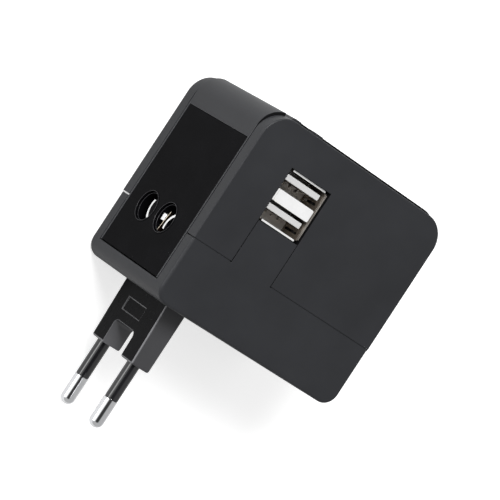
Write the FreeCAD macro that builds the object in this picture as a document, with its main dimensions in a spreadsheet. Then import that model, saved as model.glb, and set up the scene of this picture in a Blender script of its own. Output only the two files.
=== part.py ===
import FreeCAD, Part
import Sketcher
import math
import os
import re

# A travel adapter in three sliding modules: a core, a lower plug module and an upper cover.
# Every piece is drawn in one corner frame: x runs from the label side to the far side,
# y from the foot of the body to its roof, and z from the back face to the front face.
# Each piece's Placement then moves that corner, so that the row's origin lies under the
# middle of the whole adapter, with the back face on z = 0.

DOC = FreeCAD.newDocument("travel_adapter")

# Driving dimensions, in millimetres and degrees.
DRIVING = {
    # outer body
    "body_width": 66.4,
    "body_height": 58.2,
    "body_depth": 42.9,
    "roof_rise": 0.7,
    "plate_depth": 3.9,
    "plate_corner": 7.3,
    "foot_corner": 4.3,
    "core_corner": 6.8,
    "edge_round": 0.4,
    "roof_end_round": 1.6,
    "foot_round": 0.9,
    "slide_gap": 0.25,
    "front_gap": 0.35,
    # the parting between the lower module and the upper cover
    "split_height": 18.8,
    "front_seam": 0.25,
    "back_seam": 0.4,
    "foot_wall": 4.6,
    "cover_wall": 2.4,
    "shoulder_width": 5.75,
    "cover_left": 6.0,
    "cover_right": 58.3,
    "groove_deep": 0.9,
    "bridge_left": 14.2,
    "bridge_long": 3.5,
    "bridge_reach": 2.4,
    # the charger window and the tongue below it
    "window_left": 13.7,
    "window_span": 14.8,
    "window_foot": 31.8,
    "window_top": 47.9,
    "tongue_gap": 0.2,
    # guide rails between the core and the modules
    "rail_width": 2.4,
    "rail_rise": 1.2,
    "rail_play": 0.3,
    "rail_inset": 5.0,
    # core mouldings
    "core_wall": 1.8,
    "core_inner_top": 53.2,
    "panel_top": 48.2,
    "panel_rim": 0.55,
    "panel_thick": 0.9,
    "panel_sunk": 0.15,
    "base_thick": 2.0,
    "boss_radius": 2.6,
    "boss_inset": 4.4,
    "screw_radius": 1.1,
    "screw_head": 2.1,
    # two round sockets in the label side
    "hole_radius": 4.5,
    "hole_height": 18.95,
    "hole_pitch": 11.0,
    "hole_rim": 0.35,
    "hole_ledge": 0.35,
    "well_depth": 16.7,
    # plug head and pins
    "head_left": 10.35,
    "head_thick": 7.05,
    "head_draft": 0.8,
    "head_span": 24.6,
    "head_reach": 18.0,
    "head_round": 0.6,
    "notch_span": 11.5,
    "notch_rise": 7.3,
    "notch_round": 1.6,
    "mark_span": 10.4,
    "mark_rise": 3.8,
    "mark_drop": 3.9,
    "mark_deep": 0.65,
    "pin_pitch": 18.2,
    "pin_reach": 19.5,
    "pin_radius": 2.0,
    "sleeve_radius": 1.82,
    "sleeve_reach": 10.9,
    "shank_radius": 1.5,
    "flange_lip": 2.0,
    "flange_thick": 1.6,
    "clamp_thick": 1.4,
    "tab_thick": 0.8,
    "tab_wide": 5.0,
    "tab_top": 11.0,
    # double charger connector
    "usb_width": 13.9,
    "usb_foot": 32.2,
    "usb_top": 47.6,
    "usb_sunk": 0.8,
    "usb_depth": 16.0,
    "usb_sheet": 0.35,
    "port_height": 5.6,
    "lip_inset": 0.9,
    "lip_out": 0.15,
    "lip_long": 0.5,
    "left_lip_sunk": 1.6,
    "right_lip_sunk": 0.25,
    "finger_slot": 0.7,
    "finger_long": 6.4,
    "plug_depth": 8.4,
    "tongue_wide": 12.2,
    "tongue_thick": 1.65,
    "tongue_sunk": 1.1,
    "upper_drop": 1.2,
    "lower_drop": 0.95,
    # universal socket
    "pole_left": 32.2,
    "earth_pitch": 22.2,
    "socket_left": 16.0,
    "socket_right": 59.4,
    "socket_thick": 2.4,
    "shutter_thick": 1.5,
    "shutter_long": 8.6,
    "sheet_brass": 0.6,
    # circuit board and what is on it
    "board_thick": 1.6,
    "board_edge": 8.4,
    "fuse_radius": 2.6,
    "fuse_long": 20.0,
}

# Places that follow from the driving dimensions.
DERIVED = {
    "mid_depth": "(core_back + core_front) / 2",
    "front_plate_back": "body_depth - plate_depth",
    "core_back": "plate_depth + slide_gap",
    "core_front": "body_depth - plate_depth - front_gap",
    "core_depth": "body_depth - 2 * plate_depth - slide_gap - front_gap",
    "core_foot": "foot_wall + slide_gap",
    "roof_top": "body_height + roof_rise",
    "cover_under": "roof_top - cover_wall",
    "seat_floor": "roof_top - cover_wall - slide_gap",
    "window_right": "window_left + window_span",
    "window_mid": "window_left + window_span / 2",
    "cover_front_foot": "split_height + front_seam / 2",
    "cradle_front_top": "split_height - front_seam / 2",
    "cover_back_foot": "split_height + back_seam / 2",
    "cradle_back_top": "split_height - back_seam / 2",
    "plug_reach": "head_reach + pin_reach",
    "pin_left": "head_left + head_thick / 2",
    "usb_left": "window_mid - usb_width / 2",
    "usb_front": "body_depth - usb_sunk",
    "usb_back": "body_depth - usb_sunk - usb_depth",
    "board_foot": "usb_foot - board_thick",
    "hole_middle": "mid_depth - 1.25",
    "clamp_left": "head_left - 2 * flange_lip - 1",
    "clamp_long": "head_thick + 4 * flange_lip + 2",
    "clamp_span": "head_span + 10.2",
    "flange_foot": "foot_wall - clamp_thick - flange_thick",
    "socket_foot": "seat_floor - socket_thick",
    "shutter_foot": "socket_foot - shutter_thick - slide_gap",
}

WORD = re.compile(r"[a-z][a-z_]*[a-z]")
PIECES = []


def sized(text):
    """Turn a formula in plain names into an expression on the spreadsheet's cells."""
    def expand(match):
        word = match.group()
        if word in DERIVED:
            return "(" + sized(DERIVED[word]) + ")"
        return "Sizes." + word
    return WORD.sub(expand, str(text))


def make_sheet():
    """Write the driving dimensions into a spreadsheet, one aliased cell a row."""
    sheet = DOC.addObject("Spreadsheet::Sheet", "Sizes")
    for row, (alias, number) in enumerate(DRIVING.items(), start=1):
        sheet.set(f"A{row}", alias)
        sheet.set(f"B{row}", str(number))
        sheet.setAlias(f"B{row}", alias)
    DOC.recompute()
    return sheet


def bind(thing, **formulas):
    """Bind properties of an object to formulas in the sheet's names."""
    for prop, formula in formulas.items():
        thing.setExpression(prop.replace("__", "."), sized(formula))


def move_to(thing, at):
    """Bind the position of an object to three formulas."""
    bind(thing, Placement__Base__x=at[0], Placement__Base__y=at[1], Placement__Base__z=at[2])


def finish(thing, label):
    """Label a finished piece and move it from the corner frame to the row's frame."""
    if thing.TypeId in ("Part::Box", "Part::Cylinder"):
        thing = grouped([thing])
    thing.Label = label
    move_to(thing, ("-body_width / 2", "(plug_reach - roof_top) / 2", "0"))
    PIECES.append(thing)
    DOC.recompute()
    return thing


# Building blocks for Part features

def block(at, size):
    """A box with its low corner at three formulas and its size from three more."""
    box = DOC.addObject("Part::Box", "block")
    bind(box, Length=size[0], Width=size[1], Height=size[2])
    move_to(box, at)
    return box


AXES = {
    "x": FreeCAD.Rotation(FreeCAD.Vector(0, 1, 0), 90),
    "y": FreeCAD.Rotation(FreeCAD.Vector(1, 0, 0), -90),
    "z": FreeCAD.Rotation(),
}


def rod(axis, at, radius, length):
    """A cylinder that starts at three formulas and runs along x, y or z."""
    cylinder = DOC.addObject("Part::Cylinder", "rod")
    bind(cylinder, Radius=radius, Height=length)
    cylinder.Placement = FreeCAD.Placement(FreeCAD.Vector(), AXES[axis])
    move_to(cylinder, at)
    return cylinder


def taper(axis, at, low, high, length):
    """A cone frustum that starts at three formulas and runs along x, y or z."""
    cone = DOC.addObject("Part::Cone", "taper")
    bind(cone, Radius1=low, Radius2=high, Height=length)
    cone.Placement = FreeCAD.Placement(FreeCAD.Vector(), AXES[axis])
    move_to(cone, at)
    return cone


def joined(shapes):
    """Fuse several shapes into one solid."""
    fuse = DOC.addObject("Part::MultiFuse", "joined")
    fuse.Shapes = shapes
    fuse.Refine = True
    return fuse


def cut_from(base, tools):
    """Cut one or more tools from a base."""
    cut = DOC.addObject("Part::Cut", "cut")
    cut.Base = base
    cut.Tool = tools[0] if len(tools) == 1 else joined(tools)
    cut.Refine = True
    return cut


def common_of(first, second):
    """The space that two shapes share."""
    shared = DOC.addObject("Part::Common", "shared")
    shared.Base = first
    shared.Tool = second
    return shared


def grouped(shapes):
    """Separate solids that share one node."""
    group = DOC.addObject("Part::Compound", "grouped")
    group.Links = shapes
    return group


def rounded(base, radius, chosen):
    """Round the edges of a Part feature that the chosen test picks."""
    DOC.recompute()
    numbers = [i for i, edge in enumerate(base.Shape.Edges, start=1) if chosen(edge)]
    if not numbers:
        raise RuntimeError(f"no edge to round on {base.Name}")
    fillet = DOC.addObject("Part::Fillet", "rounded")
    fillet.Base = base
    fillet.Edges = [(number, radius, radius) for number in numbers]
    return fillet


# Building blocks for PartDesign bodies

def new_body(name):
    """An empty body."""
    return DOC.addObject("PartDesign::Body", name)


def outline(body, corners, start, plane="XY_Plane"):
    """A closed sketch with straight sides through corners given as formulas."""
    sketch = body.newObject("Sketcher::SketchObject", "outline")
    base = [f for f in body.Origin.OriginFeatures if f.Role == plane][0]
    sketch.AttachmentSupport = (base, [""])
    sketch.MapMode = "FlatFace"
    count = len(corners)
    ring = [FreeCAD.Vector(math.cos(2 * math.pi * i / count), math.sin(2 * math.pi * i / count), 0)
            for i in range(count)]
    for i in range(count):
        sketch.addGeometry(Part.LineSegment(ring[i], ring[(i + 1) % count]))
    for i in range(count):
        sketch.addConstraint(Sketcher.Constraint("Coincident", i, 2, (i + 1) % count, 1))
    for i, (across, up) in enumerate(corners):
        for kind, letter, formula in (("DistanceX", "u", across), ("DistanceY", "v", up)):
            index = sketch.addConstraint(Sketcher.Constraint(kind, -1, 1, i, 1, 1.0))
            sketch.renameConstraint(index, f"{letter}{i}")
            sketch.setExpression(f"Constraints.{letter}{i}", sized(formula))
    bind(sketch, **{"__AttachmentOffset__Base__z": start})
    return sketch


def rectangle(left, low, right, high):
    """The four corners of an upright rectangle."""
    return [(left, low), (right, low), (right, high), (left, high)]


def pad(body, corners, start, length, plane="XY_Plane"):
    """Add a prism on an outline."""
    feature = body.newObject("PartDesign::Pad", "pad")
    feature.Profile = outline(body, corners, start, plane)
    bind(feature, Length=length)
    DOC.recompute()
    return feature


def pocket(body, corners, start, length, plane="XY_Plane"):
    """Cut a prism that runs from start along the plane's normal, and check that it cut."""
    before = body.Tip.Shape.Volume
    sketch = outline(body, corners, start, plane)
    feature = body.newObject("PartDesign::Pocket", "pocket")
    feature.Profile = sketch
    feature.Reversed = True
    bind(feature, Length=length)
    DOC.recompute()
    if feature.Shape.Volume > before - 0.05:
        raise RuntimeError(f"a pocket in {body.Name} cut nothing: {corners}")
    return feature


def soften(body, radius, chosen):
    """Round the edges of a body that the chosen test picks."""
    tip = body.Tip
    names = [f"Edge{i}" for i, edge in enumerate(tip.Shape.Edges, start=1) if chosen(edge)]
    if not names:
        raise RuntimeError(f"no edge to soften on {body.Name}")
    fillet = body.newObject("PartDesign::Fillet", "soften")
    fillet.Base = (tip, names)
    bind(fillet, Radius=radius)
    DOC.recompute()
    return fillet


# Tests that pick edges by where they lie

NEAR = 1e-3


def middle(edge):
    """The point halfway along an edge."""
    return edge.valueAt((edge.FirstParameter + edge.LastParameter) / 2)


def runs_along(edge, axis):
    """True for a straight edge parallel to an axis."""
    if edge.Curve.TypeId != "Part::GeomLine":
        return False
    return abs(getattr(edge.tangentAt(edge.FirstParameter), axis)) > 1 - NEAR


def close(value, target):
    """True when two lengths are the same."""
    return abs(value - target) < NEAR


def cell(alias):
    """A driving dimension as a number."""
    return DRIVING[alias]


# Upper cover

def make_cover_shell():
    """Inverted U: front plate with its open slot, roof wall and back plate."""
    body = new_body("cover_shell_body")
    pad(body, rectangle("cover_left", "cover_under", "cover_right", "roof_top"), "plate_depth - 0.5",
        "core_front - plate_depth + 0.5")
    # a groove parts the roof from the front plate, with two bridges across it
    web = rectangle("cover_left", "cover_under", "cover_right", "body_height - groove_deep")
    pad(body, web, "core_front - 0.5", "front_gap + 1")
    for low in ("cover_left", "bridge_left"):
        pad(body, rectangle(low, "cover_under", f"{low} + bridge_long", "roof_top"), "core_front - 0.5",
            "front_gap + 0.5 + bridge_reach")
    left = cell("cover_left")
    soften(body, "roof_end_round",
           lambda e: runs_along(e, "z") and close(middle(e).x, left) and middle(e).y > 58)
    front = [
        ("0", "cover_front_foot"),
        ("window_left", "cover_front_foot"),
        ("window_left", "window_top"),
        ("window_right", "window_top"),
        ("window_right", "cover_front_foot"),
        ("body_width", "cover_front_foot"),
        ("body_width", "body_height"),
        ("0", "body_height"),
    ]
    pad(body, front, "front_plate_back", "plate_depth")
    pad(body, rectangle("0", "cover_back_foot", "body_width", "body_height"), "0", "plate_depth")
    width = cell("body_width")
    height = cell("body_height")
    soften(body, "plate_corner", lambda e: runs_along(e, "z") and close(middle(e).y, height)
           and (close(middle(e).x, 0) or close(middle(e).x, width)))
    for left in ("rail_inset", "body_width - rail_inset - rail_width"):
        channel = rectangle(f"{left} - rail_play", "split_height - 2",
                            f"{left} + rail_width + rail_play", "core_inner_top")
        pocket(body, channel, "front_plate_back", "rail_rise + rail_play")
        pocket(body, channel, "plate_depth - rail_rise - rail_play", "rail_rise + rail_play")
    pocket(body, rectangle("window_right + 2.5", "split_height + 3", "body_width - 10", "core_inner_top"),
           "front_plate_back", "plate_depth - 2.1")
    back = rectangle("10", "split_height + 3", "body_width - 10", "core_inner_top")
    pocket(body, back, "2.1", "plate_depth")
    depth = cell("body_depth")
    foot = cell("split_height")
    window = (cell("window_left"), cell("window_left") + cell("window_span"), cell("window_top"))

    def outer_rim(edge):
        point = middle(edge)
        in_slot = window[0] - NEAR < point.x < window[1] + NEAR and point.y < window[2] + NEAR
        on_face = close(point.z, depth) or close(point.z, 0)
        return on_face and point.y > foot + 1 and not in_slot
    soften(body, "edge_round", outer_rim)
    return finish(body, "cover_shell")


# Lower plug module

def make_cradle_shell():
    """U-shaped cradle: foot wall, low back plate, and front plate with the tongue."""
    body = new_body("cradle_shell_body")
    pad(body, rectangle("0", "0", "body_width", "foot_wall"), "0", "body_depth")
    front = [
        ("0", "0"),
        ("body_width", "0"),
        ("body_width", "cradle_front_top"),
        ("window_right - tongue_gap", "cradle_front_top"),
        ("window_right - tongue_gap", "window_foot"),
        ("window_left + tongue_gap", "window_foot"),
        ("window_left + tongue_gap", "cradle_front_top"),
        ("0", "cradle_front_top"),
    ]
    pad(body, front, "front_plate_back", "plate_depth")
    pad(body, rectangle("0", "0", "body_width", "cradle_back_top"), "0", "plate_depth")
    width = cell("body_width")
    soften(body, "foot_corner", lambda e: runs_along(e, "z") and close(middle(e).y, 0)
           and (close(middle(e).x, 0) or close(middle(e).x, width)))
    for left in ("rail_inset", "body_width - rail_inset - rail_width"):
        channel = rectangle(f"{left} - rail_play", "foot_wall + 1.5",
                            f"{left} + rail_width + rail_play", "split_height + 2")
        pocket(body, channel, "front_plate_back", "rail_rise + rail_play")
        pocket(body, channel, "plate_depth - rail_rise - rail_play", "rail_rise + rail_play")
    pocket(body, rectangle("window_right + 2.5", "foot_wall + 2", "body_width - 10", "split_height - 3"),
           "front_plate_back", "plate_depth - 2.1")
    back = rectangle("10", "foot_wall + 2", "body_width - 10", "split_height - 3")
    pocket(body, back, "2.1", "plate_depth")
    # the stepped seat of the plug head, its flange and the clamp plate over it
    seat = rectangle("clamp_left - 0.1", "foot_wall - clamp_thick",
                     "clamp_left + clamp_long + 0.1", "foot_wall + 1")
    pocket(body, seat, "mid_depth - clamp_span / 2 - 0.1", "clamp_span + 0.2")
    seat = rectangle("head_left - flange_lip - 0.1", "flange_foot",
                     "head_left + head_thick + flange_lip + 0.1", "foot_wall")
    pocket(body, seat, "mid_depth - head_span / 2 - flange_lip - 0.1", "head_span + 2 * flange_lip + 0.2")
    seat = rectangle("head_left - 0.05", "-1", "head_left + head_thick + 0.05", "foot_wall")
    pocket(body, seat, "mid_depth - head_span / 2 - 0.05", "head_span + 0.1")
    depth = cell("body_depth")
    seam = cell("split_height")

    def outer_rim(edge):
        point = middle(edge)
        on_face = close(point.z, depth) or close(point.z, 0)
        return on_face and point.y < seam - 1
    soften(body, "foot_round", outer_rim)
    pilots = [rod("y", ("pin_left", "foot_wall - clamp_thick - 1", depth), "0.85", "3")
              for depth in clamp_screw_depths()]
    return finish(cut_from(body, pilots), "cradle_shell")


def pole_depths():
    """The depth of each pin's axis, neutral pole towards the back."""
    return {"neutral": "mid_depth - pin_pitch / 2", "line": "mid_depth + pin_pitch / 2"}


def make_plug_head():
    """Bridge-shaped plug head: two legs, a notch between them and a flange inside the foot wall."""
    top = "foot_wall - clamp_thick"
    profile = [
        ("head_left + head_draft", "-head_reach"),
        ("head_left + head_thick", "-head_reach"),
        ("head_left + head_thick", top),
        ("head_left", top),
    ]
    outer = new_body("plug_head_body")
    pad(outer, profile, "mid_depth - head_span / 2", "head_span")
    foot = -cell("head_reach")
    ends = (foot, cell("foot_wall") - cell("clamp_thick"))
    soften(outer, "head_round", lambda e: ends[0] + 1 < middle(e).y < ends[1] - 1)
    soften(outer, "head_round", lambda e: close(middle(e).y, foot))
    notch = block(("head_left - 1", "-head_reach - 1", "mid_depth - notch_span / 2"),
                  ("head_thick + 2", "notch_rise + 1", "notch_span"))
    notch_top = foot + cell("notch_rise")
    notch = rounded(notch, cell("notch_round"),
                    lambda e: runs_along(e, "x") and close(middle(e).y, notch_top))
    lip_low = "mid_depth - head_span / 2 - flange_lip"
    flange = block(("head_left - flange_lip", "flange_foot", lip_low),
                   ("head_thick + 2 * flange_lip", "flange_thick", "head_span + 2 * flange_lip"))
    mark = block(("head_left - 1", "-mark_drop - mark_rise", "mid_depth - mark_span / 2 - 0.7"),
                 ("1 + mark_deep", "mark_rise", "mark_span"))
    bores = []
    for depth in pole_depths().values():
        bores.append(rod("y", ("pin_left", "-head_reach - 1", depth), "shank_radius", "head_reach - 2"))
        bores.append(rod("y", ("pin_left", "-head_reach - 1", depth), "sleeve_radius", "2"))
        slot_low = ("pin_left - tab_thick / 2", "-3.5", f"{depth} - tab_wide / 2")
        bores.append(block(slot_low, ("tab_thick", "10", "tab_wide")))
    return finish(cut_from(joined([outer, flange]), [notch, mark] + bores), "plug_head")


def make_pins():
    """Two round-ended pins, each with a thinner shank that runs through its sleeve into the head."""
    foot = -cell("head_reach") - cell("pin_reach")
    for pole, depth in pole_depths().items():
        tip = rod("y", ("pin_left", "-plug_reach", depth), "pin_radius", "pin_reach - sleeve_reach")
        tip = rounded(tip, cell("pin_radius") * 0.96, lambda e: close(middle(e).y, foot))
        shank = rod("y", ("pin_left", "-head_reach - sleeve_reach", depth), "shank_radius",
                    "sleeve_reach + head_reach - 3.5")
        finish(joined([tip, shank]), f"{pole}_pin")


def make_pin_sleeves():
    """Insulating sleeve round the root of each pin."""
    for pole, depth in pole_depths().items():
        tube = rod("y", ("pin_left", "-head_reach - sleeve_reach", depth), "sleeve_radius",
                   "sleeve_reach + 1")
        bore = rod("y", ("pin_left", "-plug_reach", depth), "shank_radius", "plug_reach")
        finish(cut_from(tube, [bore]), f"{pole}_pin_sleeve")


def make_tabs():
    """Flat tab on the inner end of each pin, which enters the core's spring clip."""
    for pole, depth in pole_depths().items():
        tab = block(("pin_left - tab_thick / 2", "-3.5", f"{depth} - tab_wide / 2"),
                    ("tab_thick", "tab_top + 3.5", "tab_wide"))
        top = cell("tab_top")
        finish(rounded(tab, 1.2, lambda e: runs_along(e, "x") and close(middle(e).y, top)), f"{pole}_tab")


def clamp_screw_depths():
    """The depth of the two screws that hold the clamp plate."""
    return ["mid_depth - clamp_span / 2 + 2.2", "mid_depth + clamp_span / 2 - 2.2"]


def make_pin_clamp():
    """Plate that clamps the head's flange in the foot wall."""
    plate = block(("clamp_left", "foot_wall - clamp_thick", "mid_depth - clamp_span / 2"),
                  ("clamp_long", "clamp_thick", "clamp_span"))
    holes = []
    for depth in pole_depths().values():
        holes.append(block(("pin_left - tab_thick / 2 - 0.1", "0", f"{depth} - tab_wide / 2 - 0.1"),
                           ("tab_thick + 0.2", "10", "tab_wide + 0.2")))
    for depth in clamp_screw_depths():
        holes.append(rod("y", ("pin_left", "0", depth), "0.9", "10"))
        holes.append(taper("y", ("pin_left", "foot_wall - 0.8", depth), "0.9", "1.8", "0.9"))
    return finish(cut_from(plate, holes), "pin_clamp")


def make_clamp_screws():
    """Two countersunk screws in the clamp plate."""
    screws = []
    for depth in clamp_screw_depths():
        head = taper("y", ("pin_left", "foot_wall - 0.8", depth), "0.85", "1.65", "0.8")
        shank = rod("y", ("pin_left", "foot_wall - 0.9 - clamp_thick", depth), "0.85", "clamp_thick + 0.1")
        slot = block(("pin_left - 2", "foot_wall - 0.3", f"{depth} - 0.2"), ("4", "1", "0.4"))
        screws.append(cut_from(joined([head, shank]), [slot]))
    return finish(grouped(screws), "clamp_screws")


# Core

def boss_places():
    """The four screw bosses at the foot of the core, as x and z formulas."""
    lefts = ["core_wall + boss_inset", "body_width - core_wall - boss_inset"]
    depths = ["core_back + core_wall + boss_inset", "core_front - core_wall - boss_inset"]
    return [(left, depth) for left in lefts for depth in depths]


def make_core_housing():
    """Moulded box with a rounded roof, guide rails and seats for the panel, charger and socket."""
    body = new_body("core_housing_body")
    pad(body, rectangle("0", "core_foot", "body_width", "roof_top"), "core_back", "core_depth")
    top = cell("body_height") + cell("roof_rise")
    soften(body, "core_corner", lambda e: runs_along(e, "z") and close(middle(e).y, top))
    inner_low = "core_back + core_wall"
    inner_span = "core_depth - 2 * core_wall"
    pocket(body, rectangle("core_wall", "core_foot - 1", "body_width - core_wall", "core_inner_top"),
           inner_low, inner_span)
    pocket(body, rectangle("shoulder_width", "seat_floor", "cover_right + slide_gap", "roof_top + 1"),
           "core_back - 1", "core_depth + 2")
    pocket(body, rectangle("socket_left", "core_inner_top - 1", "socket_right", "seat_floor"),
           f"{inner_low} + 0.8", f"{inner_span} - 1.6")
    pocket(body, rectangle("usb_left - 0.1", "board_foot + 1", "usb_left + usb_width + 0.1", "usb_top + 0.1"),
           "core_front - core_wall - 1", "core_wall + 2")
    pocket(body, rectangle("-1", "core_foot - 1", "panel_thick + panel_sunk", "panel_top"),
           "core_back + panel_rim", "core_depth - 2 * panel_rim")
    pocket(body, rectangle("0", "hole_height - 6.4", "core_wall + 1", "hole_height + 6.4"),
           "hole_middle - 12.4", "24.8")
    for left in ("rail_inset", "body_width - rail_inset - rail_width"):
        rail = rectangle(left, "core_foot + 3", f"{left} + rail_width", "core_inner_top - 1")
        pad(body, rail, "core_back - rail_rise", "rail_rise + 0.4")
        pad(body, rail, "core_front - 0.4", "rail_rise + 0.4")
    # shelf ribs that hold the circuit board
    for left in ("core_wall - 0.5", "body_width - core_wall - 2"):
        for low in ("board_foot - 1.2", "board_foot + board_thick + 0.1"):
            shelf = rectangle(left, low, f"{left} + 2.5", f"{low} + 1")
            pad(body, shelf, f"{inner_low} + 3", f"{inner_span} - 6")
    return body


def add_bosses(housing):
    """Fuse the four screw bosses to the housing and drill them."""
    bosses = []
    drills = []
    for left, depth in boss_places():
        bosses.append(rod("y", (left, "core_foot + base_thick + 0.05", depth), "boss_radius", "5"))
        side = "core_wall - 0.4" if left.startswith("core") else "body_width - core_wall - boss_inset"
        rib_low = (side, "core_foot + base_thick + 0.05", f"{depth} - 0.5")
        bosses.append(block(rib_low, ("boss_inset + 0.4", "5", "1")))
        drills.append(rod("y", (left, "core_foot", depth), "screw_radius - 0.2", "6.4"))
    return finish(cut_from(joined([housing] + bosses), drills), "core_housing")


def make_core_base():
    """Plate that closes the foot of the core."""
    plate = block(("core_wall + 0.05", "core_foot", "core_back + core_wall + 0.05"),
                  ("body_width - 2 * core_wall - 0.1", "base_thick", "core_depth - 2 * core_wall - 0.1"))
    holes = []
    for depth in pole_depths().values():
        holes.append(block(("pin_left - tab_thick / 2 - 0.35", "0", f"{depth} - tab_wide / 2 - 0.35"),
                           ("tab_thick + 0.7", "20", "tab_wide + 0.7")))
    for left, depth in boss_places():
        holes.append(rod("y", (left, "0", depth), "screw_radius", "20"))
        holes.append(taper("y", (left, "core_foot - 0.1", depth), "screw_head + 0.15", "screw_radius", "1.1"))
    return finish(cut_from(plate, holes), "core_base")


def make_base_screws():
    """Four countersunk screws that hold the core's base plate."""
    screws = []
    for left, depth in boss_places():
        head = taper("y", (left, "core_foot", depth), "screw_head", "screw_radius - 0.2", "1")
        shank = rod("y", (left, "core_foot + 0.9", depth), "screw_radius - 0.2", "4.8")
        bars = [block((f"{left} - 1.3", "0", f"{depth} - 0.25"), ("2.6", "core_foot + 0.5", "0.5")),
                block((f"{left} - 0.25", "0", f"{depth} - 1.3"), ("0.5", "core_foot + 0.5", "2.6"))]
        screws.append(cut_from(joined([head, shank]), bars))
    return finish(grouped(screws), "base_screws")


def hole_depths():
    """The depth of the middle of each round socket, back one first."""
    return {"back": "hole_middle - hole_pitch / 2", "front": "hole_middle + hole_pitch / 2"}


def hole_bar(depth, left, length, grow="0"):
    """A round bar along x on a socket's axis, as wide as its hole and a little more or less."""
    return rod("x", (left, "hole_height", depth), f"hole_radius + {grow}", length)


def make_label_panel():
    """Inlay in the label side, with two round holes in slightly raised rims."""
    plate = block(("panel_sunk", "core_foot + 0.1", "core_back + panel_rim + 0.1"),
                  ("panel_thick", "panel_top - core_foot - 0.2", "core_depth - 2 * panel_rim - 0.2"))
    rims = [hole_bar(depth, "0.04", "panel_sunk + 0.5", "hole_rim") for depth in hole_depths().values()]
    holes = [hole_bar(depth, "-1", "5") for depth in hole_depths().values()]
    return finish(cut_from(joined([plate] + rims), holes), "label_panel")


# the bow springs in the two wells lean opposite ways: mean radius, height of the apex above the
# well's middle, and how far the inner side lies inside that radius
BOWS = {"back": ("4.6", "0.75", "0.7"), "front": ("3.8", "-1.55", "0.4")}


def bow_axis(name):
    """The height and depth of the axis that a bow spring is bent round."""
    radius, apex, _ = BOWS[name]
    return f"hole_height + {apex}", f"{hole_depths()[name]} + 0.85 + {radius}"


def make_side_socket_well():
    """Moulding behind the panel with a blind well for each round socket and a rest for the back spring."""
    left = "panel_sunk + panel_thick"
    solid = block((left, "hole_height - 6.2", "hole_middle - 12.2"), ("well_depth", "12.4", "24.4"))
    wells = [hole_bar(depth, "0", "well_depth + 0.6", "0 - hole_ledge") for depth in hole_depths().values()]
    height, depth = bow_axis("back")
    radius, _, inside = BOWS["back"]
    rest = common_of(rod("x", ("0.45", height, depth), f"{radius} - {inside} - 0.08", "well_depth"),
                     hole_bar(hole_depths()["back"], "0", "20", "-0.1"))
    return finish(joined([cut_from(solid, wells), rest]), "side_socket_well")


def make_side_contacts():
    """A bowed nickel spring in each round well, with its belly towards the back."""
    for name, (radius, _, inside) in BOWS.items():
        height, depth = bow_axis(name)
        outer = rod("x", ("0.75", height, depth), f"{radius} + 0.4", "well_depth - 0.2")
        inner = rod("x", ("0", height, depth), f"{radius} - {inside}", "20")
        keep = block(("0.7", "hole_height - 2.75", f"{depth} - {radius} - 1"), ("20", "5.3", "4.2"))
        room = hole_bar(hole_depths()[name], "0", "20", "0 - hole_ledge - 0.1")
        finish(common_of(common_of(cut_from(outer, [inner]), keep), room), f"side_contact_{name}")


def make_side_link_strip():
    """Brass strip that leans across the front well, beside its spring."""
    depth = hole_depths()["front"]
    strip = DOC.addObject("Part::Box", "strip")
    bind(strip, Length="well_depth - 0.4", Width="6.3", Height="0.22")
    strip.Placement = FreeCAD.Placement(FreeCAD.Vector(), FreeCAD.Rotation(FreeCAD.Vector(1, 0, 0), 10))
    move_to(strip, ("0.9", "hole_height - 4.2", f"{depth} - 1.45"))
    room = hole_bar(depth, "0", "20", "0 - hole_ledge - 0.1")
    finish(common_of(strip, room), "side_link_strip")


def make_side_link_lug():
    """Nickel lug that the link strip is riveted to."""
    depth = hole_depths()["front"]
    lug = block(("0.8", "hole_height - 0.95", f"{depth} - 2.6"), ("well_depth - 0.3", "1.9", "1.6"))
    finish(lug, "side_link_lug")


def make_receptacles():
    """Spring clip for each tab of the plug module."""
    for pole, depth in pole_depths().items():
        outside = block(("pin_left - 1.2", "core_foot + base_thick + 0.2", f"{depth} - tab_wide / 2"),
                        ("2.4", "tab_top - core_foot - base_thick + 1", "tab_wide"))
        gap = block(("pin_left - tab_thick / 2 - 0.25", "0", f"{depth} - tab_wide / 2 - 1"),
                    ("tab_thick + 0.5", "tab_top + 0.5", "tab_wide + 2"))
        finish(cut_from(outside, [gap]), f"{pole}_receptacle")


def make_bus_bars():
    """Brass bar from each receptacle, past the circuit board, to the socket contact above."""
    step = "tab_top + 0.6"
    for pole, depth in pole_depths().items():
        if pole == "neutral":
            bar = "core_back + core_wall + 1"
            reach = f"({depth} - tab_wide / 2) - ({bar})"
            foot = block(("pin_left - 2", step, bar), ("4", "sheet_brass", reach))
            top_low = bar
        else:
            bar = "core_front - core_wall - 1 - sheet_brass"
            reach = f"({bar}) + sheet_brass - ({depth} + tab_wide / 2)"
            foot = block(("pin_left - 2", step, f"{depth} + tab_wide / 2"), ("4", "sheet_brass", reach))
            top_low = f"{bar} + sheet_brass - 1.1"
        run_foot = "board_foot - 3.4"
        riser = block(("pin_left - 2", step, bar), ("4", f"board_foot - 2.2 - ({step})", "sheet_brass"))
        run = block(("pin_left - 2", run_foot, bar), ("pole_left - pin_left + 4", "2.4", "sheet_brass"))
        rise = block(("pole_left - 2", run_foot, bar),
                     ("4", f"socket_foot - 16.4 - ({run_foot})", "sheet_brass"))
        top = block(("pole_left - 2", "socket_foot - 17", top_low), ("4", "sheet_brass", "1.1"))
        finish(joined([foot, riser, run, rise, top]), f"{pole}_bus_bar")


def pole_signs():
    """The side of the socket's middle that each pole is on."""
    return {"neutral": "-", "line": "+"}


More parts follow.
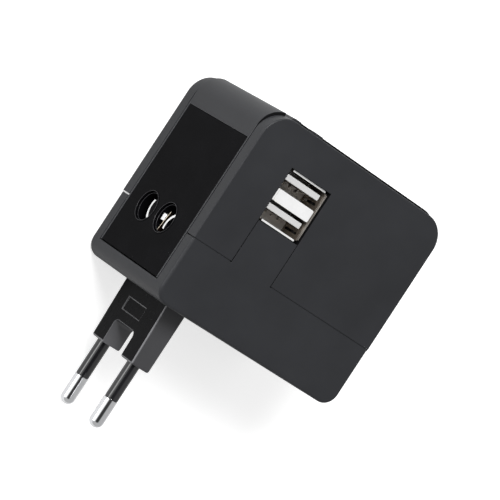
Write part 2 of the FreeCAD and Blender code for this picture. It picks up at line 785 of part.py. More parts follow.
def make_socket_contacts():
    """Spring contact of each pole: a wide pair of leaves for blades and a narrow pair for pins."""
    low = "socket_foot - 17"
    for pole, sign in pole_signs().items():
        near = "mid_depth + 4.6" if sign == "+" else "mid_depth - 8.4"
        far = "mid_depth + 8.4" if sign == "+" else "mid_depth - 13.2"
        base_low = "mid_depth + 4.6" if sign == "+" else "mid_depth - 13.2"
        parts = [block(("pole_left - 3.7", low, base_low), ("7.4", "sheet_brass", "8.6"))]
        for wide, start, span in (("3.25", near, "3.8"), ("2.05", far, "4.8")):
            for left in (f"pole_left - {wide} - 0.4", f"pole_left + {wide}"):
                parts.append(block((left, low, start), ("0.4", "13", span)))
        finish(joined(parts), f"{pole}_contact")


def make_contact_carrier():
    """Moulding that holds the two socket contacts under the shutter."""
    left = "usb_left + usb_width + 0.1"
    right = "pole_left + 4.6"
    solid = block((left, "socket_foot - 18.2", "mid_depth - 14"), (f"{right} - ({left})", "14.6", "28"))
    cavities = []
    for cavity, slot in (("mid_depth - 13.4", "mid_depth - 15"), ("mid_depth + 1", "mid_depth + 12.8")):
        cavities.append(block((f"{left} + 0.35", "socket_foot - 17", cavity),
                              (f"{right} - ({left}) - 0.95", "20", "12.4")))
        cavities.append(block(("pole_left - 2.1", "socket_foot - 19", slot), ("4.2", "2.7", "2.2")))
    return finish(cut_from(solid, cavities), "contact_carrier")


def make_socket_face():
    """Universal socket insert: one shared opening a pole, and an opening for an earth pin."""
    plate = block(("socket_left + 0.1", "socket_foot", "core_back + core_wall + 0.9"),
                  ("socket_right - socket_left - 0.2", "socket_thick", "core_depth - 2 * core_wall - 1.8"))
    low = "socket_foot - 1"
    holes = [block(("pole_left + earth_pitch - 4.1", low, "mid_depth - 2.3"), ("8.2", "5", "4.6"))]
    for sign in pole_signs().values():
        holes.append(block(("pole_left - 2.3", low, f"mid_depth {sign} 11.1 - 3.4"), ("4.6", "5", "6.8")))
        holes.append(rod("y", ("pole_left", low, f"mid_depth {sign} 9.5"), "2.5", "5"))
        holes.append(block(("pole_left - 3.7", low, f"mid_depth {sign} 6.35 - 1"), ("7.4", "5", "2")))
    return finish(cut_from(plate, holes), "socket_face")


def make_shutter():
    """Sliding plate that closes the pole openings, with a ramp in front of each and a guide stem."""
    plate = block(("pole_left - shutter_long / 2", "shutter_foot", "mid_depth - 13"),
                  ("shutter_long", "shutter_thick", "26"))
    stem = block(("pole_left + shutter_long / 2", "shutter_foot", "mid_depth - 2.2"),
                 ("4.4", "shutter_thick", "4.4"))
    grip = rounded(joined([plate, stem]), 0.5, lambda e: runs_along(e, "y"))
    return finish(grip, "shutter")


# Charger electronics

def port_feet():
    """The foot of each port's opening."""
    return {"lower": "usb_foot + usb_sheet", "upper": "usb_top - usb_sheet - port_height"}


def usb_side_cuts():
    """Cuts in the can's side walls: open corners, shorter side lips and slots for the spring fingers."""
    cuts = []
    for left in ("usb_left - 1", "usb_left + usb_width - lip_inset"):
        for low in ("usb_foot - 0.5", "usb_top - 0.5"):
            cuts.append(block((left, low, "usb_front - 1.3"), ("lip_inset + 1", "1", "2")))
    tall = "usb_top - usb_foot + 2"
    sides = (("usb_left - 1", "left_lip_sunk"), ("usb_left + usb_width - usb_sheet", "right_lip_sunk"))
    for left, sunk in sides:
        cuts.append(block((left, "usb_foot - 1", f"usb_front - {sunk}"), ("usb_sheet + 1", tall, "3")))
        for foot in port_feet().values():
            cuts.append(block((left, f"{foot} + 1.3", "usb_front - 1.7 - finger_long"),
                              ("usb_sheet + 1", "finger_slot", "finger_long")))
    return cuts


def usb_flared_lips():
    """The thicker front edges of the can's lower and upper walls."""
    lips = []
    for low in ("usb_foot - lip_out", "usb_top - usb_sheet"):
        lips.append(block(("usb_left + lip_inset", low, "usb_front - lip_long"),
                          ("usb_width - 2 * lip_inset", "usb_sheet + lip_out", "lip_long")))
    return lips


def make_usb_shell():
    """Sheet-metal can round two stacked ports, with a folded divider between them."""
    can = block(("usb_left", "usb_foot", "usb_back"), ("usb_width", "usb_top - usb_foot", "usb_depth"))
    can = rounded(can, 0.4, lambda e: runs_along(e, "z"))
    left = "usb_left + usb_sheet"
    wide = "usb_width - 2 * usb_sheet"
    mouth = "usb_front - plug_depth"
    divider_foot = "usb_foot + usb_sheet + port_height"
    divider_rise = "usb_top - usb_foot - 2 * usb_sheet - 2 * port_height"
    hollows = [block((left, foot, mouth), (wide, "port_height", "usb_depth"))
               for foot in port_feet().values()]
    hollows.append(block((left, "usb_foot + usb_sheet", "usb_back - 1"),
                         (wide, "usb_top - usb_foot - 2 * usb_sheet", "usb_depth - plug_depth + 1")))
    hollows.append(block((left, f"{divider_foot} + usb_sheet", "usb_back"),
                         (wide, f"{divider_rise} - 2 * usb_sheet", "usb_depth + 1")))
    hollows.append(block((left, f"{divider_foot} - 0.1", "usb_front - 0.3"),
                         (wide, f"{divider_rise} + 0.2", "1")))
    front = block((f"{left} + 0.25", divider_foot, "usb_front - usb_sheet"),
                  (f"{wide} - 0.5", divider_rise, "usb_sheet"))
    front = rounded(front, 0.5, lambda e: runs_along(e, "z"))
    can = cut_from(can, hollows + usb_side_cuts())
    return finish(joined([can, front] + usb_flared_lips()), "usb_shell")


def tongue_feet():
    """The underside of the tongue in each port."""
    return {name: f"{foot} + port_height - {name}_drop - tongue_thick" for name, foot in port_feet().items()}


# the four contacts of a port, from the middle of its tongue
CONTACTS = ("- 3.5", "- 1", "+ 1", "+ 3.5")


def make_usb_insulator():
    """Moulding that fills the back of the can, with a pocket under each tongue for every contact."""
    solid = block(("usb_left + usb_sheet + 0.05", "usb_foot + usb_sheet + 0.05", "usb_back + 0.4"),
                  ("usb_width - 2 * usb_sheet - 0.1", "usb_top - usb_foot - 2 * usb_sheet - 0.1",
                   "usb_depth - plug_depth - 0.45"))
    solid = rounded(solid, 0.3, lambda e: runs_along(e, "z"))
    pockets = []
    for foot in tongue_feet().values():
        for offset in CONTACTS:
            low = (f"window_mid {offset} - 0.45", f"{foot} - 0.95", "usb_front - plug_depth - 0.85")
            pockets.append(block(low, ("0.9", "0.95", "1")))
    return finish(cut_from(solid, pockets), "usb_insulator")


def make_usb_tongues():
    """Contact tongue near the top of each port."""
    for name, foot in tongue_feet().items():
        bar = block(("window_mid - tongue_wide / 2", foot, "usb_front - plug_depth"),
                    ("tongue_wide", "tongue_thick", "plug_depth - tongue_sunk"))
        finish(rounded(bar, 0.25, lambda e: runs_along(e, "z")), f"usb_{name}_tongue")


def make_usb_contacts():
    """Four contact strips under each tongue, each coming out of its pocket."""
    strips = []
    for foot in tongue_feet().values():
        for offset in CONTACTS:
            low = (f"window_mid {offset} - 0.35", f"{foot} - 0.12", "usb_front - plug_depth - 0.8")
            strips.append(block(low, ("0.7", "0.12", "plug_depth - tongue_sunk - 1.2")))
    return finish(grouped(strips), "usb_contacts")


def make_circuit_board():
    """Board between the housing's shelf ribs, under the charger connector."""
    plate = block(("core_wall + 0.2", "board_foot", "board_edge"),
                  ("body_width - 2 * core_wall - 0.4", "board_thick", "body_depth - 2 * board_edge"))
    return finish(plate, "circuit_board")


def make_transformer():
    """Ferrite frame round a taped winding, hung under the board."""
    low = "board_foot - 13.5"
    frame = block(("21", low, "mid_depth - 7"), ("15", "13.5", "14"))
    windows = [block(("22.8", f"{low} + 2.2", "mid_depth - 8"), ("11.4", "9.1", "16"))]
    finish(cut_from(frame, windows), "transformer_core")
    coil = block(("23", f"{low} + 2.4", "mid_depth - 8.6"), ("11", "8.7", "17.2"))
    finish(rounded(coil, 2.0, lambda e: runs_along(e, "y") or runs_along(e, "x")), "transformer_winding")


def make_capacitors():
    """Two input capacitors side by side and a smaller output one."""
    cans = [rod("y", ("45", "board_foot - 13", f"mid_depth {offset}"), "4.4", "13")
            for offset in ("- 7", "+ 3")]
    rims = [rounded(can, 0.6, lambda e: e.Curve.TypeId == "Part::GeomCircle") for can in cans]
    finish(grouped(rims), "input_capacitors")
    small = rod("y", ("56", "board_foot - 10", "mid_depth + 8"), "3.2", "10")
    finish(rounded(small, 0.5, lambda e: e.Curve.TypeId == "Part::GeomCircle"), "output_capacitor")


def make_filter_choke():
    """Drum choke: two flanges and a wound waist."""
    place = ("56", "mid_depth - 7")
    drum = [rod("y", (place[0], f"board_foot - {drop}", place[1]), radius, high)
            for drop, radius, high in (("8", "3.4", "1.4"), ("7", "2.6", "6"), ("1.4", "3.4", "1.4"))]
    return finish(joined(drum), "filter_choke")


def make_board_chips():
    """Bridge rectifier and charge controller on the upper side of the board."""
    top = "board_foot + board_thick"
    finish(block(("42", top, "mid_depth - 9"), ("6", "2.2", "5")), "rectifier")
    finish(block(("42", top, "mid_depth + 3"), ("5", "1.5", "4")), "controller_chip")


def make_fuse():
    """Ceramic fuse across the foot of the core, with its end caps and two clips."""
    left = "38"
    height = "core_foot + base_thick + 4.4"
    depth = "mid_depth + 1"
    end = "4.5"
    near_seat = f"{left} + {end} - 0.5"
    far_start = f"{left} + fuse_long - {end}"
    tube = rod("x", (near_seat, height, depth), "fuse_radius - 0.3", f"fuse_long - 2 * {end} + 1")
    finish(tube, "fuse_tube")
    caps = []
    clips = []
    for start, seat in ((left, near_seat), (far_start, far_start)):
        cap = rod("x", (start, height, depth), "fuse_radius", end)
        recess = rod("x", (seat, height, depth), "fuse_radius - 0.3", "0.5")
        caps.append(cut_from(cap, [recess]))
        outside = block((f"{start} + 1", "core_foot + base_thick", f"{depth} - 3.2"), ("2.4", "6.4", "6.4"))
        bore = rod("x", (start, height, depth), "fuse_radius", "6")
        mouth = block((start, height, f"{depth} - 1.7"), ("6", "4", "3.4"))
        clips.append(cut_from(outside, [bore, mouth]))
    finish(grouped(caps), "fuse_caps")
    finish(grouped(clips), "fuse_clips")


def check_document():
    """Stop if any object failed, or if a piece has no valid shape."""
    DOC.recompute()
    for thing in DOC.Objects:
        if "Invalid" in thing.State or "Error" in thing.State:
            raise RuntimeError(f"{thing.Name} ({thing.Label}) failed: {thing.State}")
    for piece in PIECES:
        if piece.Shape.isNull() or not piece.Shape.isValid():
            raise RuntimeError(f"{piece.Label} has no valid shape")


def write_steps():
    """Write one STEP file a piece and print its size."""
    os.makedirs("parts", exist_ok=True)
    for piece in PIECES:
        piece.Shape.exportStep(f"parts/{piece.Label}.step")
        box = piece.Shape.optimalBoundingBox(False)
        print(f"{piece.Label:22s} solids {len(piece.Shape.Solids)}  volume {piece.Shape.Volume:9.1f}  "
              f"x {box.XMin:6.1f} {box.XMax:6.1f}  y {box.YMin:6.1f} {box.YMax:6.1f}  "
              f"z {box.ZMin:5.1f} {box.ZMax:5.1f}")


make_sheet()
make_cover_shell()
make_cradle_shell()
make_plug_head()
make_pins()
make_pin_sleeves()
make_tabs()
make_pin_clamp()
make_clamp_screws()
add_bosses(make_core_housing())
make_core_base()
make_base_screws()
make_label_panel()
make_side_socket_well()
make_side_contacts()
make_side_link_strip()
make_side_link_lug()
make_receptacles()
make_bus_bars()
make_socket_contacts()
make_contact_carrier()
make_socket_face()
make_shutter()
make_usb_shell()
make_usb_insulator()
make_usb_tongues()
make_usb_contacts()
make_circuit_board()
make_transformer()
make_capacitors()
make_filter_choke()
make_board_chips()
make_fuse()
check_document()
write_steps()
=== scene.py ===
"""Travel adapter in three sliding modules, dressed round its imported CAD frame.

The core carries two charger ports, two round side sockets and a universal socket.
A plug module slides on from below and a cover slides on from above.
"""
from __future__ import annotations

import logging
import math
from collections.abc import Iterable
from dataclasses import dataclass
from enum import Enum
from typing import ClassVar

import bmesh
import bpy
from mathutils import Matrix, Vector


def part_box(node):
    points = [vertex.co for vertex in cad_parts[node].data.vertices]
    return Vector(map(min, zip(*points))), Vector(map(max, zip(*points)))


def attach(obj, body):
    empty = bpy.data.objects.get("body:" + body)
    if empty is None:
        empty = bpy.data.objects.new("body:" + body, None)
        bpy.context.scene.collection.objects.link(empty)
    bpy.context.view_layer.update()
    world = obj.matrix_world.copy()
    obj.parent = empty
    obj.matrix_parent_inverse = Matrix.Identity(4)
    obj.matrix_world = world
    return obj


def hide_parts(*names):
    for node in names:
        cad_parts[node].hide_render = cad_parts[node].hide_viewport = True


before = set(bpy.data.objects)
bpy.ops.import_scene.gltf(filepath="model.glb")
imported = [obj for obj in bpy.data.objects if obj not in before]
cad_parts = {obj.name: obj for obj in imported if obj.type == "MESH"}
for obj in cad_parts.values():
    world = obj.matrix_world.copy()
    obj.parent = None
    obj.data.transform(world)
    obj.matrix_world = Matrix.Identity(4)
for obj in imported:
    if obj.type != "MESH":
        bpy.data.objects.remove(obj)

log = logging.getLogger("travel_adapter")

MM = 0.001
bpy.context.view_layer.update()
FULL_RANGE = (0.0, 1.0)
FULL_TURN = 2 * math.pi
SPIN_WELD = 0.0005 * MM
UNSOFTENED = 0.0


class Body(Enum):
    """The moving bodies of the frame."""

    CORE = "core"
    PLUG = "plug_module"
    COVER = "top_cover"
    SHUTTER = "shutter"


class Facing(Enum):
    """The way that a patch of faces looks, in the part's frame."""

    LABEL_SIDE = (-1.0, 0.0, 0.0)
    FAR_SIDE = (1.0, 0.0, 0.0)
    FRONT = (0.0, 0.0, 1.0)


@dataclass(frozen=True)
class CornerFrame:
    """The corner that the adapter's drawings measure from, in millimetres."""

    left: float = -33.2
    foot: float = -10.7

    def point(self, across: float, up: float, deep: float) -> Vector:
        """Turn a drawing's point into the part's frame.

        Args:
            across: distance from the label side.
            up: height above the foot of the body.
            deep: distance from the back face.

        Returns:
            The same point in metres.
        """
        return Vector(((across + self.left) * MM, (up + self.foot) * MM, deep * MM))


CORNER = CornerFrame()
EVERYWHERE = ((-5.0, -45.0, -5.0), (75.0, 70.0, 50.0))


# Shader effects and finishes


@dataclass
class ShaderSheet:
    """A node tree with short calls to add and join nodes."""

    tree: bpy.types.NodeTree
    mix_share: ClassVar[int] = 0
    mix_numbers: ClassVar[tuple[int, int]] = (2, 3)
    mix_colours: ClassVar[tuple[int, int]] = (6, 7)
    mixed_number: ClassVar[int] = 0
    mixed_colour: ClassVar[int] = 2

    def add(self, kind: str, **values: object) -> bpy.types.Node:
        """Add a node and set its properties.

        Args:
            kind: the node's type without the ShaderNode prefix.
            values: properties of the node.

        Returns:
            The new node.
        """
        node = self.tree.nodes.new("ShaderNode" + kind)
        for name, value in values.items():
            setattr(node, name, value)
        return node

    def join(self, source: bpy.types.NodeSocket, target: bpy.types.NodeSocket) -> None:
        """Link two sockets."""
        self.tree.links.new(source, target)

    def noise(
        self, vector: bpy.types.NodeSocket, scale: object, detail: float, rough: float = 0.5,
    ) -> bpy.types.NodeSocket:
        """Add a noise texture.

        Args:
            vector: the coordinates.
            scale: a number, or the socket that gives it.
            detail: octaves.
            rough: weight of the finer octaves.

        Returns:
            The noise value's socket.
        """
        node = self.add("TexNoise")
        node.inputs["Detail"].default_value = detail
        node.inputs["Roughness"].default_value = rough
        self.join(vector, node.inputs["Vector"])
        if isinstance(scale, (int, float)):
            node.inputs["Scale"].default_value = scale
        else:
            self.join(scale, node.inputs["Scale"])
        return node.outputs["Fac"]

    def spread(
        self, value: bpy.types.NodeSocket,
        source: tuple[float, float] = FULL_RANGE, target: tuple[float, float] = FULL_RANGE,
    ) -> bpy.types.NodeSocket:
        """Map one range of values onto another.

        Args:
            value: the value to map.
            source: its low and high ends.
            target: the low and high results.

        Returns:
            The mapped value's socket.
        """
        node = self.add("MapRange")
        for name, number in zip(("From Min", "From Max", "To Min", "To Max"), source + target):
            node.inputs[name].default_value = number
        self.join(value, node.inputs["Value"])
        return node.outputs["Result"]

    def blend(
        self, share: bpy.types.NodeSocket, first: tuple[float, ...], second: tuple[float, ...],
    ) -> bpy.types.NodeSocket:
        """Mix two colours by a varying share.

        Args:
            share: how much of the second colour.
            first: colour where the share is 0.
            second: colour where the share is 1.

        Returns:
            The mixed colour's socket.
        """
        node = self.add("Mix", data_type="RGBA")
        for socket, colour in zip(self.mix_colours, (first, second)):
            node.inputs[socket].default_value = (*colour, 1.0)
        self.join(share, node.inputs[self.mix_share])
        return node.outputs[self.mixed_colour]


class Effects:
    """Shader node groups that several finishes share, each built once."""

    _built: ClassVar[dict[str, bpy.types.NodeTree]] = {}

    @classmethod
    def _group(
        cls, name: str, inputs: dict[str, float], outputs: list[str],
    ) -> tuple[ShaderSheet, bpy.types.Node, bpy.types.Node]:
        """Start a group with a vector input, number inputs and number outputs.

        Args:
            name: the group's name.
            inputs: number inputs and their defaults.
            outputs: names of the number outputs.

        Returns:
            The group's sheet, its input node and its output node.
        """
        tree = bpy.data.node_groups.new(name, "ShaderNodeTree")
        tree.interface.new_socket("Place", in_out="INPUT", socket_type="NodeSocketVector")
        for label, number in inputs.items():
            socket = tree.interface.new_socket(label, in_out="INPUT", socket_type="NodeSocketFloat")
            socket.default_value = number
        for label in outputs:
            tree.interface.new_socket(label, in_out="OUTPUT", socket_type="NodeSocketFloat")
        start = tree.nodes.new("NodeGroupInput")
        end = tree.nodes.new("NodeGroupOutput")
        cls._built[name] = tree
        return ShaderSheet(tree), start, end

    @classmethod
    def moulded_grain(cls) -> bpy.types.NodeTree:
        """Spark-eroded mould texture: fine pits, and slow clouds of tone and gloss.

        Returns:
            The group, which gives a Height, a Tone and a Gloss.
        """
        if "moulded_grain" in cls._built:
            return cls._built["moulded_grain"]
        sheet, start, end = cls._group(
            "moulded_grain", {"Grain": 5200.0, "Cloud": 55.0}, ["Height", "Tone", "Gloss"],
        )
        place = start.outputs["Place"]
        fine = sheet.noise(place, start.outputs["Grain"], detail=3.0, rough=0.6)
        cloud = sheet.noise(place, start.outputs["Cloud"], detail=4.0, rough=0.55)
        sheet.join(fine, end.inputs["Height"])
        sheet.join(sheet.spread(cloud, source=(0.3, 0.7)), end.inputs["Tone"])
        both = sheet.add("Math", operation="MULTIPLY")
        sheet.join(fine, both.inputs[0])
        sheet.join(cloud, both.inputs[1])
        gloss = sheet.spread(both.outputs["Value"], source=(0.12, 0.42))
        sheet.join(gloss, end.inputs["Gloss"])
        return sheet.tree

    @classmethod
    def handling_marks(cls) -> bpy.types.NodeTree:
        """Faint smudges and hairlines left by hands and packing.

        Returns:
            The group, which gives a Haze and a Line.
        """
        if "handling_marks" in cls._built:
            return cls._built["handling_marks"]
        sheet, start, end = cls._group(
            "handling_marks", {"Smudge": 130.0, "Hairline": 900.0}, ["Haze", "Line"],
        )
        haze = sheet.noise(start.outputs["Place"], start.outputs["Smudge"], detail=5.0, rough=0.6)
        sheet.join(sheet.spread(haze, source=(0.42, 0.72)), end.inputs["Haze"])
        drawn = sheet.add("Mapping")
        drawn.inputs["Rotation"].default_value = (0.3, 0.2, 0.7)
        drawn.inputs["Scale"].default_value = (1.0, 0.04, 1.0)
        sheet.join(start.outputs["Place"], drawn.inputs["Vector"])
        line = sheet.noise(drawn.outputs["Vector"], start.outputs["Hairline"], detail=2.0, rough=0.4)
        sheet.join(sheet.spread(line, source=(0.55, 0.75)), end.inputs["Line"])
        return sheet.tree

    @classmethod
    def drawn_metal(cls) -> bpy.types.NodeTree:
        """Streaks and clouds of a metal that was drawn and plated.

        Returns:
            The group, which gives a Height and a Tone.
        """
        if "drawn_metal" in cls._built:
            return cls._built["drawn_metal"]
        sheet, start, end = cls._group(
            "drawn_metal", {"Streak": 2600.0, "Cloud": 260.0}, ["Height", "Tone"],
        )
        place = start.outputs["Place"]
        streak = sheet.noise(place, start.outputs["Streak"], detail=2.0)
        cloud = sheet.noise(place, start.outputs["Cloud"], detail=3.0, rough=0.6)
        sheet.join(streak, end.inputs["Height"])
        sheet.join(sheet.spread(cloud, source=(0.35, 0.65)), end.inputs["Tone"])
        return sheet.tree


@dataclass(frozen=True)
class Finish:
    """A surface finish, with the record's material slot that it belongs to.

    Pattern scales are per metre, and depths of relief are in metres.
    """

    name: str
    slot: str
    colour: tuple[float, float, float]
    roughness: float

    def _start(
        self,
    ) -> tuple[bpy.types.Material, ShaderSheet, bpy.types.Node, bpy.types.NodeSocket]:
        """Make the material with its shader, and give its parts.

        Returns:
            The material, its sheet, its shader and the Object coordinates.
        """
        material = bpy.data.materials.new(self.name)
        material.use_nodes = True
        sheet = ShaderSheet(material.node_tree)
        shader = material.node_tree.nodes["Principled BSDF"]
        shader.inputs["Base Color"].default_value = (*self.colour, 1.0)
        shader.inputs["Roughness"].default_value = self.roughness
        place = sheet.add("TexCoord").outputs["Object"]
        return material, sheet, shader, place

    @staticmethod
    def _emboss(
        sheet: ShaderSheet, shader: bpy.types.Node, height: bpy.types.NodeSocket,
        deep: float, strength: float,
    ) -> None:
        """Feed a height into the shader's normal.

        Args:
            sheet: the material's sheet.
            shader: the Principled shader.
            height: the height's socket.
            deep: depth in metres.
            strength: share of the effect.
        """
        bump = sheet.add("Bump")
        bump.inputs["Distance"].default_value = deep
        bump.inputs["Strength"].default_value = strength
        sheet.join(height, bump.inputs["Height"])
        sheet.join(bump.outputs["Normal"], shader.inputs["Normal"])

    def tint(self, factor: float) -> tuple[float, float, float]:
        """Give the finish's colour, made lighter or darker by a factor."""
        return tuple(min(1.0, channel * factor) for channel in self.colour)

    def build(self) -> bpy.types.Material:
        """Make the material; each kind of finish has its own way.

        Returns:
            The material.
        """
        raise NotImplementedError


@dataclass(frozen=True)
class MouldedPlastic(Finish):
    """Textured plastic with a fine spark-eroded grain."""

    grain: float = 5200.0
    depth: float = 0.00002
    relief: float = 0.6
    specular: float = 0.5
    variation: float = 0.12
    gloss_swing: float = 0.05

    def build(self) -> bpy.types.Material:
        """Make the material.

        Returns:
            The material.
        """
        material, sheet, shader, place = self._start()
        shader.inputs["Specular IOR Level"].default_value = self.specular
        grain = sheet.add("Group", node_tree=Effects.moulded_grain())
        grain.inputs["Grain"].default_value = self.grain
        sheet.join(place, grain.inputs["Place"])
        dark = self.tint(1 - self.variation)
        light = self.tint(1 + self.variation)
        sheet.join(sheet.blend(grain.outputs["Tone"], dark, light), shader.inputs["Base Color"])
        satin = (self.roughness - self.gloss_swing, self.roughness + self.gloss_swing)
        gloss = sheet.spread(grain.outputs["Gloss"], target=satin)
        sheet.join(gloss, shader.inputs["Roughness"])
        self._emboss(sheet, shader, grain.outputs["Height"], self.depth, self.relief)
        return material


@dataclass(frozen=True)
class GlossPlastic(Finish):
    """Polished plastic with faint smudges and hairlines."""

    specular: float = 0.5
    haze: float = 0.14
    ripple: float = 0.000008
    relief: float = 0.25
    smudge_tint: float = 1.35

    def build(self) -> bpy.types.Material:
        """Make the material.

        Returns:
            The material.
        """
        material, sheet, shader, place = self._start()
        shader.inputs["Specular IOR Level"].default_value = self.specular
        marks = sheet.add("Group", node_tree=Effects.handling_marks())
        sheet.join(place, marks.inputs["Place"])
        tone = sheet.blend(marks.outputs["Haze"], self.colour, self.tint(self.smudge_tint))
        sheet.join(tone, shader.inputs["Base Color"])
        polish = (self.roughness, self.roughness + self.haze)
        gloss = sheet.spread(marks.outputs["Haze"], target=polish)
        sheet.join(gloss, shader.inputs["Roughness"])
        self._emboss(sheet, shader, marks.outputs["Line"], self.ripple, self.relief)
        return material


@dataclass(frozen=True)
class PlatedMetal(Finish):
    """Plated or drawn metal, with streaks and slightly uneven polish."""

    streak: float = 2600.0
    depth: float = 0.000006
    relief: float = 0.35
    shade: tuple[float, float, float] = (0.5, 0.5, 0.5)
    uneven: float = 0.1
    metallic: float = 1.0

    def build(self) -> bpy.types.Material:
        """Make the material.

        Returns:
            The material.
        """
        material, sheet, shader, place = self._start()
        shader.inputs["Metallic"].default_value = self.metallic
        drawn = sheet.add("Group", node_tree=Effects.drawn_metal())
        drawn.inputs["Streak"].default_value = self.streak
        sheet.join(place, drawn.inputs["Place"])
        tone = sheet.blend(drawn.outputs["Tone"], self.colour, self.shade)
        sheet.join(tone, shader.inputs["Base Color"])
        polish = (self.roughness, self.roughness + self.uneven)
        gloss = sheet.spread(drawn.outputs["Tone"], target=polish)
        sheet.join(gloss, shader.inputs["Roughness"])
        self._emboss(sheet, shader, drawn.outputs["Height"], self.depth, self.relief)
        return material


@dataclass(frozen=True)
class BoardLacquer(Finish):
    """Green solder lacquer over copper tracks."""

    track: tuple[float, float, float] = (0.05, 0.26, 0.1)
    track_scale: float = 180.0
    track_edge: tuple[float, float] = (0.08, 0.12)
    depth: float = 0.00003
    relief: float = 0.5

    def build(self) -> bpy.types.Material:
        """Make the material.

        Returns:
            The material.
        """
        material, sheet, shader, place = self._start()
        tracks = sheet.add("TexVoronoi", feature="DISTANCE_TO_EDGE", distance="CHEBYCHEV")
        tracks.inputs["Scale"].default_value = self.track_scale
        sheet.join(place, tracks.inputs["Vector"])
        lines = sheet.spread(tracks.outputs["Distance"], source=self.track_edge, target=(1.0, 0.0))
        sheet.join(sheet.blend(lines, self.colour, self.track), shader.inputs["Base Color"])
        self._emboss(sheet, shader, lines, self.depth, self.relief)
        return material


SHELL = MouldedPlastic("shell_plastic", "shell_plastic", (0.0200, 0.0209, 0.0236), 0.42, specular=0.28)
# Paler copy of the shell plastic: a painted highlight on rounded edges that face the label side.
SHELL_EDGE_HIGHLIGHT = MouldedPlastic("shell_edge", "shell_plastic", (0.07, 0.072, 0.078), 0.4)
# Near-black copy of the shell plastic: painted shade in the grooves, on the seam walls and on the sheet
# behind the charger slot.
PAINTED_SHADE_BLACK = MouldedPlastic("painted_shade_black", "shell_plastic", (0.004, 0.004, 0.0045), 0.6, specular=0.12)
GLOSS = GlossPlastic("gloss_black", "gloss_black", (0.006, 0.006, 0.007), 0.16, specular=0.3)
PANEL = GlossPlastic("panel_black", "gloss_black", (0.0025, 0.0025, 0.003), 0.12, specular=0.025)
# Paler gloss black for the rings on the holes' edges: a painted highlight.
RIM_GLINT = GlossPlastic("rim_glint", "gloss_black", (0.03, 0.03, 0.033), 0.3, specular=0.35)
HEAD_FACE = GlossPlastic("head_black", "gloss_black", (0.0045, 0.0045, 0.005), 0.2, specular=0.04)
HEAD_SIDE = MouldedPlastic("head_satin", "gloss_black", (0.04, 0.04, 0.043), 0.45)
# Paler copy of the head's plastic: a painted highlight on the head's rounded edges.
HEAD_EDGE_HIGHLIGHT = MouldedPlastic("head_edge", "gloss_black", (0.13, 0.13, 0.137), 0.35)
# Lighter copy of the head's plastic: painted light on the notch wall that faces the front.
NOTCH_WALL_PAINTED_LIGHT = MouldedPlastic("notch_wall_painted_light", "gloss_black", (0.085, 0.085, 0.09), 0.45)
SLEEVE = GlossPlastic(
    "sleeve_black", "gloss_black", (0.006, 0.006, 0.007), 0.12, specular=0.9, haze=0.05, ripple=0.000002,
)
PORT_GREY = MouldedPlastic("port_grey", "port_plastic", (0.53, 0.525, 0.52), 0.5)
NICKEL = PlatedMetal(
    "nickel", "nickel", (0.95, 0.955, 0.97), 0.04, shade=(0.88, 0.89, 0.91), uneven=0.03,
    depth=0.000001,
)
SPRING_NICKEL = PlatedMetal(
    "spring_nickel", "nickel", (0.95, 0.95, 0.95), 0.2, shade=(0.88, 0.88, 0.88), metallic=0.5,
)
# Dark copy of the spring nickel: painted shade on the springs' flanks.
SPRING_PAINTED_SHADE = PlatedMetal("spring_painted_shade", "nickel", (0.05, 0.05, 0.06), 0.4, shade=(0.03, 0.03, 0.04))
BRASS = PlatedMetal("brass", "brass", (0.78, 0.58, 0.30), 0.22, shade=(0.62, 0.44, 0.22))
# Pale brass: painted light on the link strip's faces toward the label side.
BRASS_PAINTED_LIGHT = PlatedMetal(
    "brass_painted_light", "brass", (0.93, 0.88, 0.78), 0.25, shade=(0.8, 0.66, 0.45), metallic=0.7,
)
# Dark brown copy of the brass: painted shade on the link strip's flanks.
BRASS_PAINTED_SHADE = PlatedMetal("brass_painted_shade", "brass", (0.09, 0.05, 0.03), 0.4, shade=(0.05, 0.03, 0.02))
BRONZE = PlatedMetal("dull_bronze", "brass", (0.16, 0.12, 0.08), 0.35, shade=(0.1, 0.08, 0.06))
# Bright copy of the charger can's steel: painted light on its front lips and on the divider's end.
CAN_FRONT_PAINTED_LIGHT = PlatedMetal(
    "can_front_painted_light", "usb_steel", (0.97, 0.97, 0.97), 0.3, shade=(0.9, 0.9, 0.9), metallic=0.4,
)
# Darker brownish copy of the can's steel: painted shade inside the can.
CAN_INSIDE_PAINTED_SHADE = PlatedMetal("can_inside_painted_shade", "usb_steel", (0.4, 0.36, 0.31), 0.4, shade=(0.33, 0.29, 0.25))
# Grey copy of the can's steel: painted shade on its right lip and flange.
LIP_PAINTED_SHADE = PlatedMetal(
    "lip_painted_shade", "usb_steel", (0.3, 0.28, 0.255), 0.35, shade=(0.24, 0.22, 0.2), metallic=0.6,
)
SCREW_STEEL = PlatedMetal(
    "screw_steel", "screw_steel", (0.62, 0.62, 0.64), 0.3, shade=(0.45, 0.45, 0.46),
)
WHITE = MouldedPlastic("white_plastic", "white_plastic", (0.56, 0.56, 0.56), 0.42, variation=0.03)
RED = MouldedPlastic("red_plastic", "red_plastic", (0.45, 0.03, 0.02), 0.4)
BOARD = BoardLacquer("board", "board", (0.025, 0.16, 0.06), 0.35)
FERRITE = MouldedPlastic("ferrite", "ferrite", (0.03, 0.03, 0.034), 0.5, grain=3000.0, depth=0.00004)
TAPE = MouldedPlastic("winding_tape", "winding_tape", (0.78, 0.56, 0.08), 0.3, grain=2200.0)
COPPER = PlatedMetal("copper", "copper", (0.72, 0.32, 0.16), 0.25, shade=(0.5, 0.2, 0.1))
CAN_SLEEVE = GlossPlastic("capacitor_sleeve", "capacitor_sleeve", (0.02, 0.03, 0.09), 0.25)
CERAMIC = MouldedPlastic("ceramic", "ceramic", (0.78, 0.76, 0.70), 0.35, variation=0.04)


